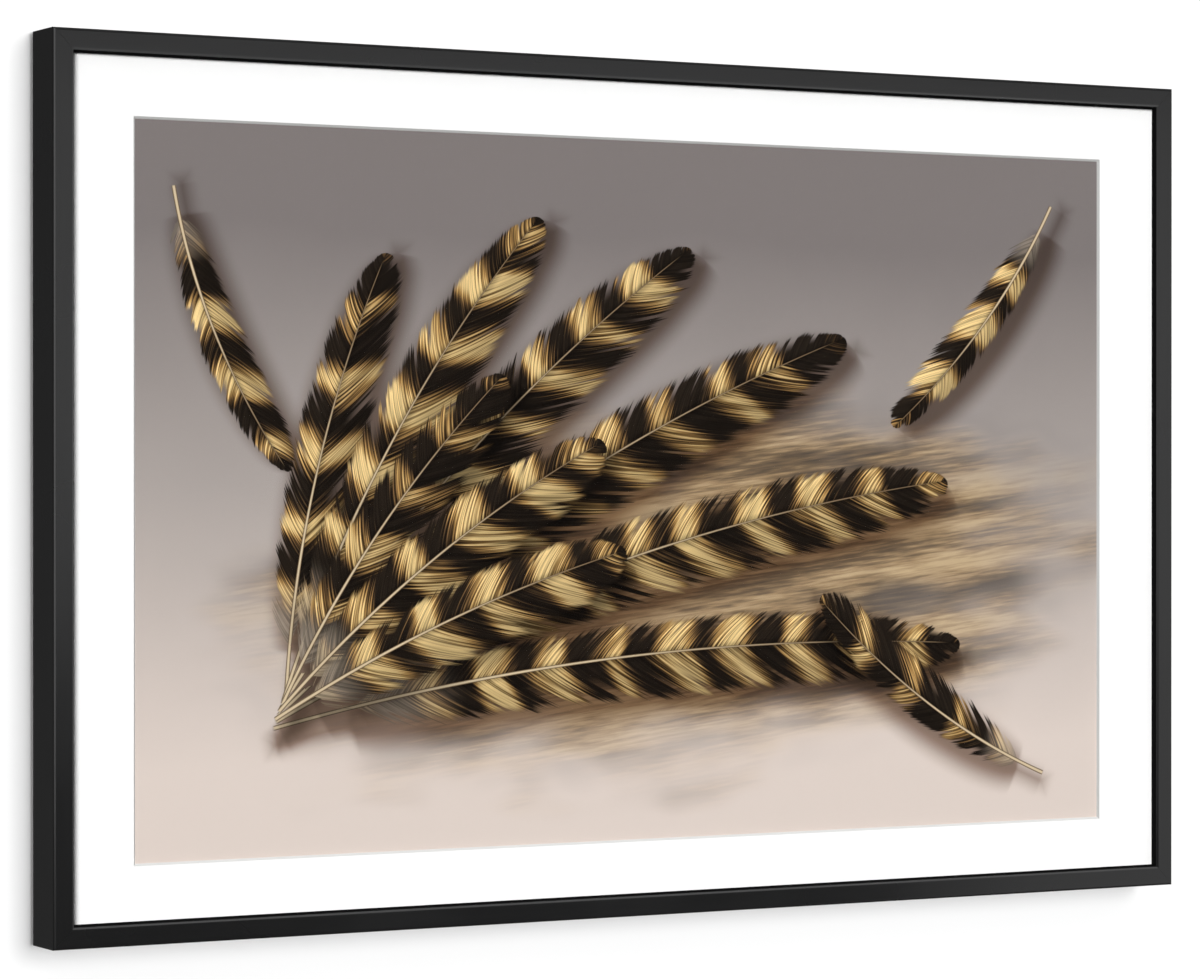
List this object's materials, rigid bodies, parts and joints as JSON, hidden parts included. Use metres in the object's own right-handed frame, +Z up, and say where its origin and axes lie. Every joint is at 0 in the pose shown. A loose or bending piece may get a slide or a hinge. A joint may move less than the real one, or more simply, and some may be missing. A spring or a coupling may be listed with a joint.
{
  "type": "framed art print",
  "caption": "Landscape art print behind clear glazing in a white bevelled window mat and a slim, deep satin black box frame that hangs on a wall by sawtooth hangers.",
  "frame": {"origin": "on the wall's plane, at mid-width, at the height of the hangers' tooth roots, where the wall's screws carry the frame", "axes": "+X to the right for someone who looks at the picture, +Y into the wall, so the picture faces -Y, and +Z up"},
  "size_m": [0.9144, 0.0413, 0.6096],
  "materials": {
    "black_wood": "satin black paint over wood",
    "acrylic": "clear polished acrylic sheet",
    "mat_paper": "smooth matt white mat board with a white core",
    "print_paper": "matt fine art paper, printed",
    "hardboard": "smooth brown hardboard",
    "point_steel": "thin spring steel",
    "zinc_steel": "zinc plated pressed steel",
    "screw_steel": "zinc plated steel",
    "rubber": "soft grey rubber"
  },
  "bodies": {
    "root": {"rail_top": "black_wood", "rail_bottom": "black_wood", "rail_left": "black_wood", "rail_right": "black_wood", "glazing": "acrylic", "mat_board": "mat_paper", "print_sheet": "print_paper", "backing_board": "hardboard", "point_top_1": "point_steel", "point_top_2": "point_steel", "point_top_3": "point_steel", "point_top_4": "point_steel", "point_bottom_1": "point_steel", "point_bottom_2": "point_steel", "point_bottom_3": "point_steel", "point_bottom_4": "point_steel", "point_left_1": "point_steel", "point_left_2": "point_steel", "point_left_3": "point_steel", "point_right_1": "point_steel", "point_right_2": "point_steel", "point_right_3": "point_steel", "hanger_left": "zinc_steel", "hanger_right": "zinc_steel", "hanger_screw_1": "screw_steel", "hanger_screw_2": "screw_steel", "hanger_screw_3": "screw_steel", "hanger_screw_4": "screw_steel", "bumper_left": "rubber", "bumper_right": "rubber"}
  },
  "joints": []
}
